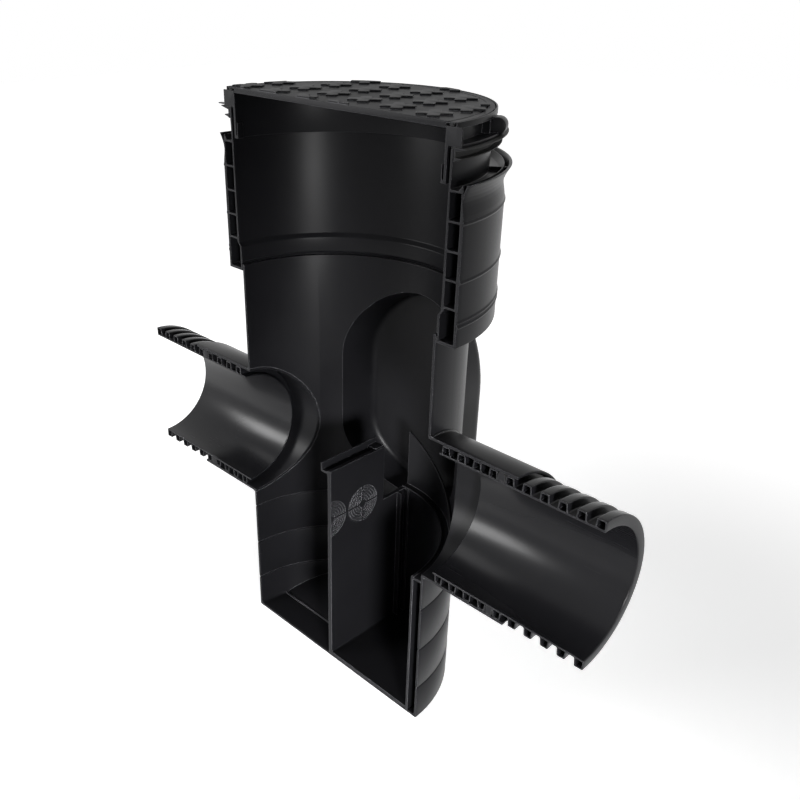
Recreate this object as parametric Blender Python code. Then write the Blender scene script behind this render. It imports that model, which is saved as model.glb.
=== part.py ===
"""Inline silt trap shown as a half section: chamber, silt bucket, twin-wall riser, cover and pipe ends.

Metres, +Z up. The origin is on the ground at the middle of the object's footprint.
X runs along the pipes: the inlet is at +X and the outlet at -X. The half that is kept lies on +Y
of the section plane, which holds the chamber's axis. Each mesh is measured from that axis, and
each object stands back from the origin by half the object's depth.
"""
import math

import bmesh
import bpy
from mathutils import geometry

# Running clearance between pieces that touch
GAP = 0.0003

# Chamber: a plain tube with a floor, moulded rings at its foot and a bypass dome at its back
CHAMBER_BORE = 0.150
CHAMBER_WALL = 0.003
CHAMBER_HEIGHT = 0.5126
FLOOR_THICKNESS = 0.003
FOOT_RING_FIRST = 0.0495
FOOT_RING_PITCH = 0.0603
FOOT_RING_COUNT = 3
FOOT_RING_DEPTH = 0.0010
FOOT_RING_WIDTH = 0.0036
BENCH_START = 0.042
BENCH_RISE = 0.046
BENCH_STRIP = 0.037

# Bypass dome: an oval pocket that bulges out of the back of the chamber
DOME_HALF_WIDTH = 0.096
DOME_TOP = 0.471
DOME_SHOULDER = 0.403
DOME_HIP = 0.284
DOME_BOTTOM = 0.215
DOME_DEPTH = 0.0356
DOME_DRAFT = math.radians(14)

# Pipe ends: twin-wall pipe with a smooth bore and square crests
PIPE_BORE = 0.0755
PIPE_LINER = 0.0020
PIPE_CREST = 0.0873
PIPE_SKIN = 0.0014
CREST_PITCH = 0.0202
CREST_WIDTH = 0.0111
PIPE_REACH = 0.3622
INLET_LEVEL = 0.3084
OUTLET_LEVEL = 0.2851
INLET_INNER_END = 0.1660
OUTLET_INNER_END = 0.1601
SEALED_CREST = 5

# Sleeves: smooth sockets welded into the chamber wall
SLEEVE_CLEARANCE = 0.0005
SLEEVE_WALL = 0.003
SLEEVE_REACH = 0.2645
SLEEVE_BEAD = 0.004

# Riser: inner tube and ribbed outer shell moulded as one, standing on the chamber
SOCKET_DEPTH = 0.008
RISER_HEIGHT = 0.1850
RISER_BORE = 0.1576
RISER_BORE_TOP = 0.1590
RISER_WALL = 0.003
RISER_STEP = 0.0327
SHELL_RADIUS = 0.178
SHELL_WALL = 0.003
WEB_FIRST = 0.0383
WEB_PITCH = 0.0276
WEB_COUNT = 5
WEB_THICKNESS = 0.002
NECK_BELOW_RIM = 0.0214
NECK_INSET = 0.0023
FLARE_HEIGHT = 0.1564
FLARE_REACH = 0.005
WELT_HEIGHT = 0.0009
WELT_WIDTH = 0.0034
DOUBLE_WELT = 0.0214
DOUBLE_WELT_SPACING = 0.005

# Riser seal: rubber lip ring over the top edge of the riser's inner tube
SEAL_WALL = 0.002
SEAL_DROP = 0.0125
SEAL_CAP = 0.0012
SEAL_LOWER_FIN = 0.0071
SEAL_UPPER_FIN = 0.0125
SEAL_FIN_THICKNESS = 0.0009

# Cover frame: deep ring with a skirt that drops into the riser
FRAME_BORE = 0.1519
FRAME_RADIUS = 0.1709
FRAME_HEIGHT = 0.0182
FRAME_LIP_HEIGHT = 0.0052
FRAME_LIP_WIDTH = 0.002
FRAME_FLANGE_RADIUS = 0.182
FRAME_FLANGE_THICKNESS = 0.002
SKIRT_WALL = 0.003
SKIRT_DROP = 0.0334
SKIRT_FOOT_HEIGHT = 0.0049
SKIRT_FOOT_INSET = 0.0031
POCKET_COUNT = 8
POCKET_RIB = math.radians(3.5)
POCKET_DEPTH = 0.013
POCKET_MARGIN = 0.003
EAR_ANGLES = (38, 90, 142)
EAR_WIDTH = 0.030
EAR_REACH = 0.0105
EAR_THICKNESS = 0.011

# Cover seal and lid
COVER_SEAL_HEIGHT = 0.0014
COVER_SEAL_INSET = 0.004
COVER_SEAL_WIDTH = 0.005
LID_THICKNESS = 0.006
LID_FLANGE = 0.0017
LID_EDGE_GAP = 0.0014
LID_GROOVE_INSET = 0.006
LID_GROOVE_WIDTH = 0.0024
LID_GROOVE_DEPTH = 0.0007

# Silt bucket: lift-out half bucket with a tall baffle, a hooked grip and two strainer rosettes
BUCKET_RADIUS = 0.1386
BUCKET_WALL = 0.003
BUCKET_FLOOR = 0.0038
BUCKET_HEIGHT = 0.207
BUCKET_RIM_THICKNESS = 0.003
BAFFLE_THICKNESS = 0.0058
TONGUE_WIDTH = 0.0933
TONGUE_HEIGHT = 0.2861
GRIP_REACH = 0.0119
GRIP_FLOOR = 0.0025
GRIP_WALL = 0.002
GRIP_UPSTAND = 0.0071
GRIP_END = 0.0143
GRIP_END_HEIGHT = 0.0035
TONGUE_FLANGE_WIDTH = 0.006
TONGUE_FLANGE_THICKNESS = 0.0022
GUIDE_REACH = 0.007
GUIDE_THICKNESS = 0.0022
GUIDE_SPACING = 0.0138
ROSETTE_RADIUS = 0.0255
ROSETTE_PITCH = 0.055
ROSETTE_DEPTH = 0.0015
ROSETTE_RINGS = 3
ROSETTE_LEVEL = 0.2210

# How far a cutter reaches past what it cuts
CUT_MARGIN = 0.010

# Facets per half turn
TUBE_STEPS = 24
PIPE_STEPS = 14
CURVE_STEPS = 6

# Heights and radii that follow from the sizes above
CHAMBER_RADIUS = CHAMBER_BORE + CHAMBER_WALL
RISER_FOOT = CHAMBER_HEIGHT - SOCKET_DEPTH
RISER_TOP = RISER_FOOT + RISER_HEIGHT
SOCKET_BORE = CHAMBER_RADIUS + GAP
SEAL_TOP = RISER_TOP + GAP + SEAL_CAP
FRAME_FOOT = SEAL_TOP + GAP
FRAME_TOP = FRAME_FOOT + FRAME_HEIGHT
LID_SEAT = FRAME_TOP + 2 * GAP + COVER_SEAL_HEIGHT
SLEEVE_BORE = PIPE_CREST + SLEEVE_CLEARANCE
SLEEVE_RADIUS = SLEEVE_BORE + SLEEVE_WALL
HOLE_RADIUS = SLEEVE_RADIUS + GAP
BUCKET_BASE = FLOOR_THICKNESS + GAP
BUCKET_TOP = BUCKET_BASE + BUCKET_HEIGHT
TONGUE_TOP = BUCKET_BASE + TONGUE_HEIGHT
DEPTH = max(CHAMBER_RADIUS + DOME_DEPTH, SHELL_RADIUS + FLARE_REACH, FRAME_FLANGE_RADIUS,
            FRAME_RADIUS + EAR_REACH)
AXIS_PLACE = (0.0, -DEPTH / 2, 0.0)


def plastic(name, colour, roughness):
    """Make a Principled material of one colour for a moulded or extruded plastic."""
    material = bpy.data.materials.new(name)
    material.use_nodes = True
    shader = material.node_tree.nodes["Principled BSDF"]
    shader.inputs["Base Color"].default_value = (*colour, 1.0)
    shader.inputs["Roughness"].default_value = roughness
    shader.inputs["Metallic"].default_value = 0.0
    return material


def add_object(name, mesh, material=None):
    """Link a mesh as an object, smooth but for its sharp edges."""
    mesh.shade_smooth()
    mesh.set_sharp_from_angle(angle=math.radians(32))
    thing = bpy.data.objects.new(name, mesh)
    thing.location = AXIS_PLACE
    bpy.context.scene.collection.objects.link(thing)
    if material:
        mesh.materials.append(material)
    return thing


def closed_mesh(name, points, faces):
    """Make a mesh from points and faces, merge its doubles and turn its faces outwards."""
    mesh = bpy.data.meshes.new(name)
    mesh.from_pydata(points, [], faces)
    work = bmesh.new()
    work.from_mesh(mesh)
    bmesh.ops.remove_doubles(work, verts=work.verts, dist=1e-6)
    bmesh.ops.dissolve_degenerate(work, edges=work.edges, dist=1e-6)
    bmesh.ops.recalc_face_normals(work, faces=work.faces)
    work.to_mesh(mesh)
    work.free()
    return mesh


def swept(name, loops, place, steps, material=None):
    """Carry a flat section, an outline and any holes in it, through the steps of place(u, v, step)."""
    section = [point for loop in loops for point in loop]
    size = len(section)
    points = [place(u, v, step) for step in range(steps + 1) for u, v in section]
    faces = []
    for step in range(steps):
        here = step * size
        there = here + size
        start = 0
        for loop in loops:
            for k in range(len(loop)):
                a = start + k
                b = start + (k + 1) % len(loop)
                faces.append((here + a, here + b, there + b, there + a))
            start += len(loop)
    flat = [[(u, v, 0.0) for u, v in loop] for loop in loops]
    last = steps * size
    for a, b, c in geometry.tessellate_polygon(flat):
        faces.append((a, b, c))
        faces.append((last + a, last + c, last + b))
    return add_object(name, closed_mesh(name, points, faces), material)


def turned(name, loops, material=None):
    """Turn a section of (radius, height) points half way round the chamber's axis, over +Y."""
    def place(radius, height, step):
        angle = math.pi * step / TUBE_STEPS
        return radius * math.cos(angle), radius * math.sin(angle), height
    return swept(name, loops, place, TUBE_STEPS, material)


def turned_pipe(name, loops, side, level, material=None):
    """Turn a section of (reach, radius) points half way round a pipe's axis, over +Y."""
    def place(reach, radius, step):
        angle = math.pi * (step / PIPE_STEPS - 0.5)
        return side * reach, radius * math.cos(angle), level + radius * math.sin(angle)
    return swept(name, loops, place, PIPE_STEPS, material)


def prism(name, outline, low, high, axes="XYZ", material=None):
    """Extrude an outline from low to high. axes says which way its first, second and third run."""
    order = ["XYZ".index(letter) for letter in axes]

    def place(u, v, step):
        values = [0.0, 0.0, 0.0]
        values[order[0]] = u
        values[order[1]] = v
        values[order[2]] = high if step else low
        return tuple(values)
    return swept(name, [outline], place, 1, material)


def block(name, x, y, z, material=None):
    """Make a box from three pairs of limits."""
    outline = [(x[0], y[0]), (x[1], y[0]), (x[1], y[1]), (x[0], y[1])]
    return prism(name, outline, z[0], z[1], material=material)


def combine(target, tool, operation):
    """Add, cut or intersect a hidden solid with an exact Boolean."""
    modifier = target.modifiers.new(tool.name, "BOOLEAN")
    modifier.object = tool
    modifier.operation = operation
    modifier.solver = "EXACT"
    tool.hide_render = True
    tool.display_type = "WIRE"


def arc(radius, first, last, steps):
    """List points on a circle about the origin between two angles, both ends included."""
    angles = [first + (last - first) * k / steps for k in range(steps + 1)]
    return [(radius * math.cos(angle), radius * math.sin(angle)) for angle in angles]


def drum(name, radius, low, high):
    """Make an upright half drum that reaches a little past the section plane, to cut or limit with."""
    outline = [(radius, -CUT_MARGIN)] + arc(radius, 0.0, math.pi, TUBE_STEPS) + [(-radius, -CUT_MARGIN)]
    return prism(name, outline, low, high)


def ring_grooves(radius, direction):
    """List the points of the V grooves up one side of the chamber wall, from the bottom up."""
    points = []
    for k in range(FOOT_RING_COUNT):
        level = FOOT_RING_FIRST + k * FOOT_RING_PITCH
        points.append((radius, level - FOOT_RING_WIDTH / 2))
        points.append((radius + direction * FOOT_RING_DEPTH, level))
        points.append((radius, level + FOOT_RING_WIDTH / 2))
    return points


def dome_solid(name, offset):
    """Loft the dome's oval from inside the chamber wall to its back, grown all round by offset."""
    deep = CHAMBER_BORE + DOME_DEPTH + offset
    near = CHAMBER_BORE * 0.6
    mouth = math.sqrt(CHAMBER_BORE ** 2 - DOME_HALF_WIDTH ** 2)
    middle = (DOME_SHOULDER + DOME_HIP) / 2
    outline = []
    for k in range(2 * CURVE_STEPS + 1):
        angle = math.pi * k / (2 * CURVE_STEPS)
        outline.append((math.cos(angle), DOME_SHOULDER + (DOME_TOP - DOME_SHOULDER) * math.sin(angle)))
    for k in range(2 * CURVE_STEPS + 1):
        angle = math.pi * (1 + k / (2 * CURVE_STEPS))
        outline.append((math.cos(angle), DOME_HIP + (DOME_HIP - DOME_BOTTOM) * math.sin(angle)))

    def place(u, v, step):
        y = 1.05 * deep if step else near
        half = DOME_HALF_WIDTH - (y - mouth) * math.tan(DOME_DRAFT) + offset
        tall = DOME_TOP - middle
        rise = 1 + (offset - (y - CHAMBER_BORE) * math.tan(DOME_DRAFT)) / tall
        return u * half, y, middle + (v - middle) * rise
    solid = swept(name, [outline], place, 1)
    combine(solid, drum(name + "_limit", deep, 0.0, CHAMBER_HEIGHT), "INTERSECT")
    return solid


def build_chamber(material):
    """Model the chamber: tube, floor and dome in one, with a hole for each sleeve."""
    outline = [(0, 0), (CHAMBER_RADIUS, 0)] + ring_grooves(CHAMBER_RADIUS, -1)
    outline += [(CHAMBER_RADIUS, CHAMBER_HEIGHT), (CHAMBER_BORE, CHAMBER_HEIGHT)]
    outline += ring_grooves(CHAMBER_BORE, 1)[::-1]
    outline += [(CHAMBER_BORE, FLOOR_THICKNESS), (0, FLOOR_THICKNESS)]
    chamber = turned("chamber_body", [outline], material)
    mid_wall = CHAMBER_BORE + CHAMBER_WALL / 2
    dome = dome_solid("dome_outside", CHAMBER_WALL)
    combine(dome, drum("dome_mouth_cutter", mid_wall, -CUT_MARGIN, CHAMBER_HEIGHT + CUT_MARGIN), "DIFFERENCE")
    combine(chamber, dome, "UNION")
    combine(chamber, dome_solid("dome_inside", 0.0), "DIFFERENCE")
    for side, level in ((1, INLET_LEVEL), (-1, OUTLET_LEVEL)):
        hole = [(HOLE_RADIUS * math.cos(angle), level + HOLE_RADIUS * math.sin(angle))
                for angle in (math.pi * (k / PIPE_STEPS - 0.5) for k in range(PIPE_STEPS + 1))]
        hole = [(-CUT_MARGIN, level - HOLE_RADIUS)] + hole + [(-CUT_MARGIN, level + HOLE_RADIUS)]
        reach = sorted((side * CHAMBER_BORE / 2, side * (CHAMBER_RADIUS + CUT_MARGIN)))
        combine(chamber, prism("sleeve_hole_cutter", hole, *reach, axes="YZX"), "DIFFERENCE")
    low = FLOOR_THICKNESS / 2
    slope = [(BENCH_START, FLOOR_THICKNESS), (CHAMBER_RADIUS, FLOOR_THICKNESS + BENCH_RISE),
             (CHAMBER_RADIUS, low), (BENCH_START, low)]
    bench = prism("bench", slope, -CHAMBER_RADIUS, -BENCH_STRIP, axes="YZX")
    combine(bench, drum("bench_limit", mid_wall, -CUT_MARGIN, CHAMBER_HEIGHT), "INTERSECT")
    combine(chamber, bench, "UNION")


def riser_outside():
    """List the riser's outer side from its foot to its flared rim, with the welt rings."""
    levels = [RISER_FOOT + DOUBLE_WELT, RISER_FOOT + DOUBLE_WELT + DOUBLE_WELT_SPACING]
    levels += [RISER_FOOT + WEB_FIRST + k * WEB_PITCH for k in (1, 3)]
    points = [(SHELL_RADIUS, RISER_FOOT)]
    for level in levels:
        points.append((SHELL_RADIUS, level - WELT_WIDTH / 2))
        points.append((SHELL_RADIUS + WELT_HEIGHT, level))
        points.append((SHELL_RADIUS, level + WELT_WIDTH / 2))
    neck = RISER_FOOT + FLARE_HEIGHT - NECK_BELOW_RIM
    points.append((SHELL_RADIUS - NECK_INSET, neck))
    rim = RISER_FOOT + FLARE_HEIGHT
    points.append((SHELL_RADIUS + FLARE_REACH * 0.6, rim - NECK_BELOW_RIM * 0.29))
    points.append((SHELL_RADIUS + FLARE_REACH, rim))
    return points


def build_riser(material):
    """Model the riser: its section has a row of hollow cells, open where the trap is cut."""
    webs = [RISER_FOOT + WEB_FIRST + k * WEB_PITCH for k in range(WEB_COUNT)]
    half = WEB_THICKNESS / 2
    step_level = RISER_FOOT + RISER_STEP
    shell_bore = SHELL_RADIUS - SHELL_WALL
    tube = RISER_BORE + RISER_WALL
    outline = [(SOCKET_BORE, RISER_FOOT)] + riser_outside()
    rim = RISER_FOOT + FLARE_HEIGHT
    outline += [(SHELL_RADIUS + FLARE_REACH - SHELL_WALL, rim), (shell_bore, webs[-1] + half + SHELL_WALL),
                (shell_bore - SHELL_WALL, webs[-1] + half), (tube, webs[-1] + half),
                (RISER_BORE_TOP + RISER_WALL, RISER_TOP), (RISER_BORE_TOP, RISER_TOP),
                (RISER_BORE, step_level + RISER_WALL / 2), (SOCKET_BORE, step_level)]
    foot_tube = SOCKET_BORE + RISER_WALL
    cells = [[(foot_tube, RISER_FOOT + RISER_WALL), (shell_bore, RISER_FOOT + RISER_WALL),
              (shell_bore, webs[0] - half), (tube, webs[0] - half),
              (tube, step_level + RISER_WALL / 2), (foot_tube, step_level - RISER_WALL)]]
    for low, high in zip(webs, webs[1:]):
        cells.append([(tube, low + half), (shell_bore - NECK_INSET, low + half),
                      (shell_bore - NECK_INSET, high - half), (tube, high - half)])
    turned("riser", [outline] + cells, material)


def build_riser_seal(material):
    """Model the rubber seal: a hook over the riser's edge with two lips outside it."""
    inner = RISER_BORE_TOP + RISER_WALL + GAP
    outer = inner + SEAL_WALL
    foot = SEAL_TOP - SEAL_DROP
    thick = SEAL_FIN_THICKNESS
    outline = [(inner, foot), (outer, foot), (outer, foot + thick), (outer + SEAL_LOWER_FIN, foot + 3 * thick),
               (outer + SEAL_LOWER_FIN, foot + 4 * thick), (outer, foot + 4 * thick),
               (outer, SEAL_TOP - 4 * thick), (outer + SEAL_UPPER_FIN, SEAL_TOP - thick),
               (outer + SEAL_UPPER_FIN, SEAL_TOP), (RISER_BORE_TOP, SEAL_TOP),
               (RISER_BORE_TOP, RISER_TOP + GAP), (inner, RISER_TOP + GAP)]
    turned("riser_seal", [outline], material)


def build_frame(material):
    """Model the cover frame: block ring, lip, flange and skirt, pocketed outside, with ears."""
    low = FRAME_FOOT
    foot = low - SKIRT_DROP
    skirt = FRAME_BORE + SKIRT_WALL
    ledge = low + FRAME_FLANGE_THICKNESS
    lip = FRAME_TOP + FRAME_LIP_HEIGHT
    outline = [(FRAME_BORE - SKIRT_FOOT_INSET, foot), (skirt, foot), (skirt, low), (FRAME_FLANGE_RADIUS, low),
               (FRAME_FLANGE_RADIUS, ledge), (FRAME_RADIUS, ledge), (FRAME_RADIUS, lip),
               (FRAME_RADIUS - FRAME_LIP_WIDTH, lip), (FRAME_RADIUS - FRAME_LIP_WIDTH, FRAME_TOP),
               (FRAME_BORE, FRAME_TOP), (FRAME_BORE, foot + SKIRT_FOOT_HEIGHT),
               (FRAME_BORE - SKIRT_FOOT_INSET, foot + SKIRT_FOOT_HEIGHT)]
    frame = turned("cover_frame", [outline], material)
    span = math.pi / POCKET_COUNT
    pocket_low = ledge + POCKET_MARGIN
    pocket_high = FRAME_TOP - POCKET_MARGIN
    for k in range(POCKET_COUNT):
        first = k * span + POCKET_RIB / 2
        last = (k + 1) * span - POCKET_RIB / 2
        outline = arc(FRAME_RADIUS - POCKET_DEPTH, first, last, CURVE_STEPS)
        outline += arc(FRAME_RADIUS * 1.02, last, first, CURVE_STEPS)
        combine(frame, prism("frame_pocket_cutter", outline, pocket_low, pocket_high), "DIFFERENCE")
    for degrees in EAR_ANGLES:
        turn = math.radians(degrees)
        inner = FRAME_RADIUS - POCKET_DEPTH / 2
        outer = FRAME_RADIUS + EAR_REACH
        half = EAR_WIDTH / 2
        corners = [(inner, -half), (outer - EAR_REACH / 2, -half), (outer, -half / 2),
                   (outer, half / 2), (outer - EAR_REACH / 2, half), (inner, half)]
        outline = [(x * math.cos(turn) - y * math.sin(turn), x * math.sin(turn) + y * math.cos(turn))
                   for x, y in corners]
        top = FRAME_TOP - POCKET_MARGIN / 3
        combine(frame, prism("frame_ear", outline, top - EAR_THICKNESS, top), "UNION")


def build_lid(material, rubber):
    """Model the lid, a plug with a thin flange and a ring groove, and the seal it lies on."""
    seal_in = FRAME_BORE + COVER_SEAL_INSET
    seal_out = seal_in + COVER_SEAL_WIDTH
    seal_low = FRAME_TOP + GAP
    seal_high = seal_low + COVER_SEAL_HEIGHT
    turned("cover_seal", [[(seal_in, seal_low), (seal_out, seal_low), (seal_out, seal_high),
                           (seal_in, seal_high)]], rubber)
    top = LID_SEAT + LID_FLANGE
    plug = FRAME_BORE - GAP
    edge = FRAME_RADIUS - FRAME_LIP_WIDTH - LID_EDGE_GAP
    groove = edge - LID_GROOVE_INSET
    outline = [(0, top - LID_THICKNESS), (plug, top - LID_THICKNESS), (plug, LID_SEAT), (edge, LID_SEAT),
               (edge, top), (groove, top), (groove - LID_GROOVE_WIDTH / 2, top - LID_GROOVE_DEPTH),
               (groove - LID_GROOVE_WIDTH, top), (0, top)]
    turned("cover_lid", [outline], material)


def pipe_loops(inner_end):
    """List a pipe's section as (reach, radius): the outline of its crests, and each crest's cell."""
    liner = PIPE_BORE + PIPE_LINER
    valley = CREST_PITCH - CREST_WIDTH
    count = int((PIPE_REACH - inner_end) / CREST_PITCH)
    if PIPE_REACH - inner_end - count * CREST_PITCH > CREST_WIDTH:
        count += 1
    outline = [(inner_end, PIPE_BORE), (PIPE_REACH, PIPE_BORE)]
    cells = []
    for k in range(count):
        outer = PIPE_REACH - k * CREST_PITCH
        inner = outer - CREST_WIDTH
        if k:
            outline.append((outer, liner))
        outline += [(outer, PIPE_CREST), (inner, PIPE_CREST), (inner, liner)]
        cells.append([(inner + PIPE_SKIN, liner), (outer - PIPE_SKIN, liner),
                      (outer - PIPE_SKIN, PIPE_CREST - PIPE_SKIN), (inner + PIPE_SKIN, PIPE_CREST - PIPE_SKIN)])
    if inner - inner_end > valley / 100:
        outline.append((inner_end, liner))
    return [outline] + cells


def build_pipe_end(name, side, level, inner_end, pipe_black, sleeve_black, rubber):
    """Model one pipe end, the sleeve it is pushed into and the ring that seals it."""
    turned_pipe(name + "_pipe", pipe_loops(inner_end), side, level, pipe_black)
    ring_out = PIPE_REACH - SEALED_CREST * CREST_PITCH - CREST_WIDTH - GAP
    ring_in = PIPE_REACH - (SEALED_CREST + 1) * CREST_PITCH + GAP
    ring_bore = PIPE_BORE + PIPE_LINER + GAP
    ring_radius = SLEEVE_BORE - GAP
    turned_pipe(name + "_pipe_seal", [[(ring_in, ring_bore), (ring_out, ring_bore),
                                       (ring_out, ring_radius), (ring_in, ring_radius)]],
                side, level, rubber)
    near = CHAMBER_BORE / 2
    sleeve = turned_pipe(name + "_sleeve", [[(near, SLEEVE_BORE), (SLEEVE_REACH, SLEEVE_BORE),
                                             (SLEEVE_REACH, SLEEVE_RADIUS), (near, SLEEVE_RADIUS)]],
                         side, level, sleeve_black)
    flush = CHAMBER_BORE + GAP
    combine(sleeve, drum(name + "_saddle_cutter", flush, 0.0, CHAMBER_HEIGHT), "DIFFERENCE")


def rosette_cutter(name, centre):
    """Make the arc grooves of one strainer rosette: rings of four arcs, cut into the baffle's face."""
    pitch = ROSETTE_RADIUS / (ROSETTE_RINGS + 1)
    margin = math.radians(9)
    cutters = []
    for ring in range(ROSETTE_RINGS):
        outer = ROSETTE_RADIUS - ring * pitch
        inner = outer - pitch / 2
        for quarter in range(4):
            first = quarter * math.pi / 2 + margin
            last = (quarter + 1) * math.pi / 2 - margin
            loop = arc(outer, first, last, CURVE_STEPS // 2) + arc(inner, last, first, CURVE_STEPS // 2)
            outline = [(centre + y, ROSETTE_LEVEL + z) for y, z in loop]
            cutters.append(prism(name, outline, -ROSETTE_DEPTH, ROSETTE_DEPTH, axes="YZX"))
    return cutters


def build_bucket(material):
    """Model the silt bucket: a half drum behind a flat baffle, with rim, tongue, grip and guides."""
    face = -BAFFLE_THICKNESS
    outer_end = math.acos(face / BUCKET_RADIUS)
    bore = BUCKET_RADIUS - BUCKET_WALL
    outline = [(face, 0.0)] + arc(BUCKET_RADIUS, 0.0, outer_end, TUBE_STEPS // 2)
    bucket = prism("silt_bucket", outline, BUCKET_BASE, BUCKET_TOP, material=material)
    clear = 2 * BUCKET_TOP
    cavity = [(0.0, -BUCKET_WALL), (bore, -BUCKET_WALL)] + arc(bore, 0.0, math.pi / 2, TUBE_STEPS // 2)
    combine(bucket, prism("bucket_cavity_cutter", cavity, BUCKET_BASE + BUCKET_FLOOR, clear), "DIFFERENCE")
    rim = CHAMBER_BORE - GAP
    rim_low = BUCKET_TOP - BUCKET_RIM_THICKNESS
    middle = BUCKET_RADIUS - BUCKET_WALL / 2
    outline = arc(rim, 0.0, math.acos(face / rim), TUBE_STEPS // 2)
    outline += arc(middle, math.acos(face / middle), 0.0, TUBE_STEPS // 2)
    combine(bucket, prism("bucket_rim", outline, rim_low, BUCKET_TOP), "UNION")
    root = BUCKET_TOP - BUCKET_WALL
    combine(bucket, block("tongue", (face, 0.0), (0.0, TONGUE_WIDTH), (root, TONGUE_TOP)), "UNION")
    tip = face - GRIP_REACH
    floor = TONGUE_TOP - GRIP_FLOOR
    inside = face / 2
    top = floor + GRIP_FLOOR + GRIP_UPSTAND
    profile = [(tip, floor - GRIP_FLOOR), (inside, floor - GRIP_FLOOR), (inside, floor),
               (tip + GRIP_WALL, floor), (tip + GRIP_WALL, top), (tip, top)]
    combine(bucket, prism("grip", profile, 0.0, TONGUE_WIDTH, axes="XZY"), "UNION")
    end = (TONGUE_WIDTH - GRIP_END, TONGUE_WIDTH)
    combine(bucket, block("grip_end", (tip, inside), end, (floor - GRIP_FLOOR, floor + GRIP_END_HEIGHT)), "UNION")
    flange = (TONGUE_WIDTH - TONGUE_FLANGE_THICKNESS, TONGUE_WIDTH)
    combine(bucket, block("tongue_flange", (face - TONGUE_FLANGE_WIDTH, inside), flange, (root, floor)), "UNION")
    foot = BUCKET_BASE + BUCKET_FLOOR / 2
    for k in range(2):
        y = bore - k * GUIDE_SPACING
        rib = block("guide", (inside, GUIDE_REACH), (y - GUIDE_THICKNESS, y), (foot, BUCKET_TOP))
        combine(bucket, rib, "UNION")
    for k in range(2):
        for cutter in rosette_cutter("rosette_cutter", k * ROSETTE_PITCH):
            combine(bucket, cutter, "DIFFERENCE")


def build_trap():
    """Clear the scene and model every piece."""
    for thing in list(bpy.data.objects):
        bpy.data.objects.remove(thing, do_unlink=True)
    chamber_black = plastic("black_polypropylene", (0.012, 0.012, 0.014), 0.42)
    pipe_black = plastic("black_pipe_polypropylene", (0.010, 0.010, 0.012), 0.38)
    cover_black = plastic("black_cover_polypropylene", (0.014, 0.014, 0.015), 0.50)
    rubber = plastic("black_seal_rubber", (0.008, 0.008, 0.008), 0.70)
    build_chamber(chamber_black)
    build_riser(chamber_black)
    build_riser_seal(rubber)
    build_frame(cover_black)
    build_lid(cover_black, rubber)
    build_pipe_end("inlet", 1, INLET_LEVEL, INLET_INNER_END, pipe_black, chamber_black, rubber)
    build_pipe_end("outlet", -1, OUTLET_LEVEL, OUTLET_INNER_END, pipe_black, chamber_black, rubber)
    build_bucket(chamber_black)


build_trap()
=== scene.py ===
# Looks of the inline silt trap, shown as the half section that it is built as.
# Shapes are worked out in millimetres from the chamber's axis (x along the pipes, y away from the
# section plane, z up) and are put into the frame, in metres, when each mesh is made.
import math

import bmesh
import bpy
import numpy as np
from mathutils import Matrix, Vector, geometry


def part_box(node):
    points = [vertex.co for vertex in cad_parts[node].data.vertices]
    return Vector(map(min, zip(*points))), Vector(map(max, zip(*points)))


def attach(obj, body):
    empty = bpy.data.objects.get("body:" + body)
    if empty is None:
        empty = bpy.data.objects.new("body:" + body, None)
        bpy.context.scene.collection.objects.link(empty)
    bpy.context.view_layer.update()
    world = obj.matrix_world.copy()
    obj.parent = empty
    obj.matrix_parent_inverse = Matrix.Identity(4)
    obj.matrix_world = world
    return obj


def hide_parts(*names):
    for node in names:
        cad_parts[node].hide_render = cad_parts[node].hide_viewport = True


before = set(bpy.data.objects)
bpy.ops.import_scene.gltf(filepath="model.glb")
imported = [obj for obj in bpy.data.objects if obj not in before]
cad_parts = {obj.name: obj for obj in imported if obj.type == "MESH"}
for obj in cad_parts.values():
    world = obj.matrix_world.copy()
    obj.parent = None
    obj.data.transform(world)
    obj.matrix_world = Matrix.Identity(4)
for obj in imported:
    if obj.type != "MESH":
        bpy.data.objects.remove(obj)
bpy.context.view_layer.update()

mm = 0.001
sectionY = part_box("chamber_body")[0].y      # the plane that the trap is cut on
resolution = {
    "halfTurn": 96,         # steps round the chamber, per half turn
    "pipeTurn": 64,         # steps round a pipe, per half turn
    "cornerSteps": 3,       # steps in a rounded corner
    "ovalSteps": 32,        # steps in each half of the dome's oval
    "domeSteps": 8,         # steps along the dome's wall, round its back edge and across its back
    "cutEdge": 0.35,        # round along every edge of the section plane, mm
    "sharpAngle": 36.0,     # smooth below this angle, degrees
}
seatGap = 0.3               # clearance between pieces that seat on one another, mm


# Materials

def toLinear(hexColour):
    channels = np.array([int(hexColour[k:k + 2], 16) for k in (1, 3, 5)]) / 255.0
    linear = np.where(channels <= 0.04045, channels / 12.92, ((channels + 0.055) / 1.055) ** 2.4)
    return (*linear, 1.0)


def addNode(tree, kind, inputs=None, **settings):
    node = tree.nodes.new(kind)
    for key, value in settings.items():
        setattr(node, key, value)
    for key, value in (inputs or {}).items():
        if isinstance(value, bpy.types.NodeSocket):
            tree.links.new(value, node.inputs[key])
        else:
            node.inputs[key].default_value = value
    return node


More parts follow.
